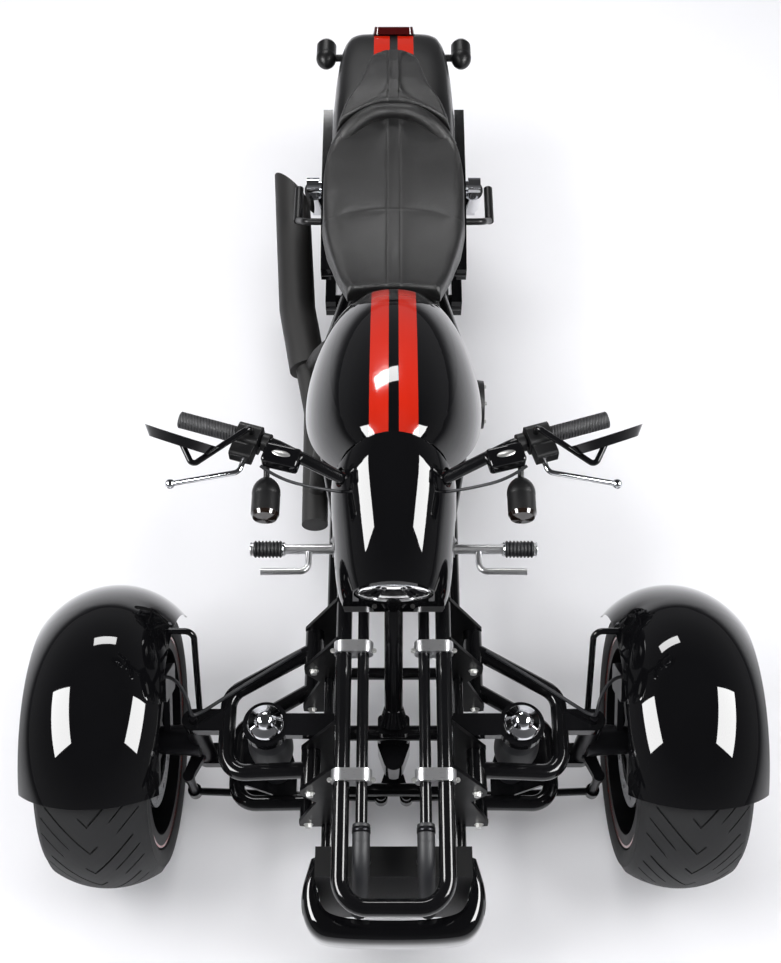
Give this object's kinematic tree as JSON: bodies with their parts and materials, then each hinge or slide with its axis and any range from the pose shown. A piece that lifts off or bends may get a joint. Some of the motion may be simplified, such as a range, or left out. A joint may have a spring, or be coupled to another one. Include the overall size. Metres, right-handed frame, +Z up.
{
  "type": "motorized trike",
  "caption": "Motorized trike with two steered front wheels on double arms, one driven rear wheel, a low stepped seat and an open tube frame.",
  "frame": {"origin": "middle of the overall box at floor level", "axes": "+Z up, -Y forward, +X to the rider's left"},
  "size_m": [1.556, 2.49, 1.0815],
  "materials": {
    "tyre": "black road tyre rubber",
    "wheel_black": "black powder-coated cast wheel with steel disc",
    "frame_black": "gloss black powder coat",
    "alloy": "machined alloy",
    "steel": "bright steel",
    "gloss_black": "deep gloss black paint with red stripes on the cover",
    "satin_black": "satin black paint",
    "rubber_black": "moulded black rubber",
    "polished_steel": "polished steel",
    "radiator_black": "black finned core",
    "engine_black": "black wrinkle and satin paint",
    "exhaust_black": "matt dark coating",
    "seat_leather": "black stitched leather",
    "tail_red": "dark red lamp lens",
    "lamp_glass": "clear lamp glass over a bright reflector"
  },
  "bodies": {
    "chassis": {"upper_rails": "frame_black", "lower_rails": "frame_black", "arm_brackets": "frame_black", "upper_arms": "frame_black", "lower_arms": "frame_black", "steering_gear": "frame_black", "spring_mounts": "frame_black", "main_frame": "frame_black", "swingarm": "frame_black", "fender_struts": "frame_black", "radiator_shroud": "frame_black", "coolant_pipes": "alloy", "output_sprocket": "steel", "tank_cover": "gloss_black", "rear_fender": "satin_black", "rear_signals": "satin_black", "passenger_pegs": "satin_black", "air_springs": "rubber_black", "radiator_hoses": "rubber_black", "drive_belt": "rubber_black", "pipe_clamps": "polished_steel", "rear_shocks": "polished_steel", "foot_controls": "polished_steel", "radiator": "radiator_black", "engine_case": "engine_black", "cylinders": "engine_black", "airbox": "engine_black", "exhaust": "exhaust_black", "seat": "seat_leather", "pillion": "seat_leather", "tail_lamp": "tail_red"},
    "steering": {"handlebar": "satin_black", "grips": "rubber_black", "switch_pods": "satin_black", "hand_levers": "polished_steel", "mirrors": "satin_black", "front_signals": "satin_black", "headlight_cowl": "gloss_black", "headlight": "lamp_glass"},
    "pitman": {"pitman_arm": "steel"},
    "tie_rod_left": {"tie_rod_left": "steel"},
    "tie_rod_right": {"tie_rod_right": "steel"},
    "knuckle_left": {"knuckle_left": "alloy", "fender_front_left": "gloss_black"},
    "knuckle_right": {"knuckle_right": "alloy", "fender_front_right": "gloss_black"},
    "wheel_front_left": {"tyre_front_left": "tyre", "wheel_front_left": "wheel_black"},
    "wheel_front_right": {"tyre_front_right": "tyre", "wheel_front_right": "wheel_black"},
    "wheel_rear": {"tyre_rear": "tyre", "wheel_rear": "wheel_black"}
  },
  "joints": [
    {"name": "steer", "type": "hinge", "parent": "chassis", "child": "steering", "pos_m": [0, -0.77, 0.45], "axis": [0, 0.6101, 0.7923], "range_deg": [-28, 28]},
    {"name": "pitman_turn", "type": "hinge", "parent": "chassis", "child": "pitman", "pos_m": [0, -0.785, 0.25], "axis": [0, 0, 1], "range_deg": [-28, 28]},
    {"name": "tie_rod_left_turn", "type": "hinge", "parent": "pitman", "child": "tie_rod_left", "pos_m": [0.03, -0.855, 0.16], "axis": [0, 0, 1], "range_deg": [-28, 28]},
    {"name": "kingpin_left", "type": "hinge", "parent": "chassis", "child": "knuckle_left", "pos_m": [0.44, -0.768, 0.3245], "axis": [0, 0, 1], "range_deg": [-28, 28]},
    {"name": "wheel_front_left_roll", "type": "hinge", "parent": "knuckle_left", "child": "wheel_front_left", "pos_m": [0.632, -0.768, 0.3245], "axis": [1, 0, 0], "continuous": true},
    {"name": "tie_rod_right_turn", "type": "hinge", "parent": "pitman", "child": "tie_rod_right", "pos_m": [-0.03, -0.855, 0.16], "axis": [0, 0, 1], "range_deg": [-28, 28]},
    {"name": "kingpin_right", "type": "hinge", "parent": "chassis", "child": "knuckle_right", "pos_m": [-0.44, -0.768, 0.3245], "axis": [0, 0, 1], "range_deg": [-28, 28]},
    {"name": "wheel_front_right_roll", "type": "hinge", "parent": "knuckle_right", "child": "wheel_front_right", "pos_m": [-0.632, -0.768, 0.3245], "axis": [1, 0, 0], "continuous": true},
    {"name": "wheel_rear_roll", "type": "hinge", "parent": "chassis", "child": "wheel_rear", "pos_m": [0, 0.875, 0.3245], "axis": [1, 0, 0], "continuous": true}
  ],
  "couplings": [
    {"joint": "pitman_turn", "follows": "steer", "ratio": 1},
    {"joint": "tie_rod_left_turn", "follows": "steer", "ratio": -1},
    {"joint": "kingpin_left", "follows": "steer", "ratio": 1},
    {"joint": "tie_rod_right_turn", "follows": "steer", "ratio": -1},
    {"joint": "kingpin_right", "follows": "steer", "ratio": 1}
  ]
}
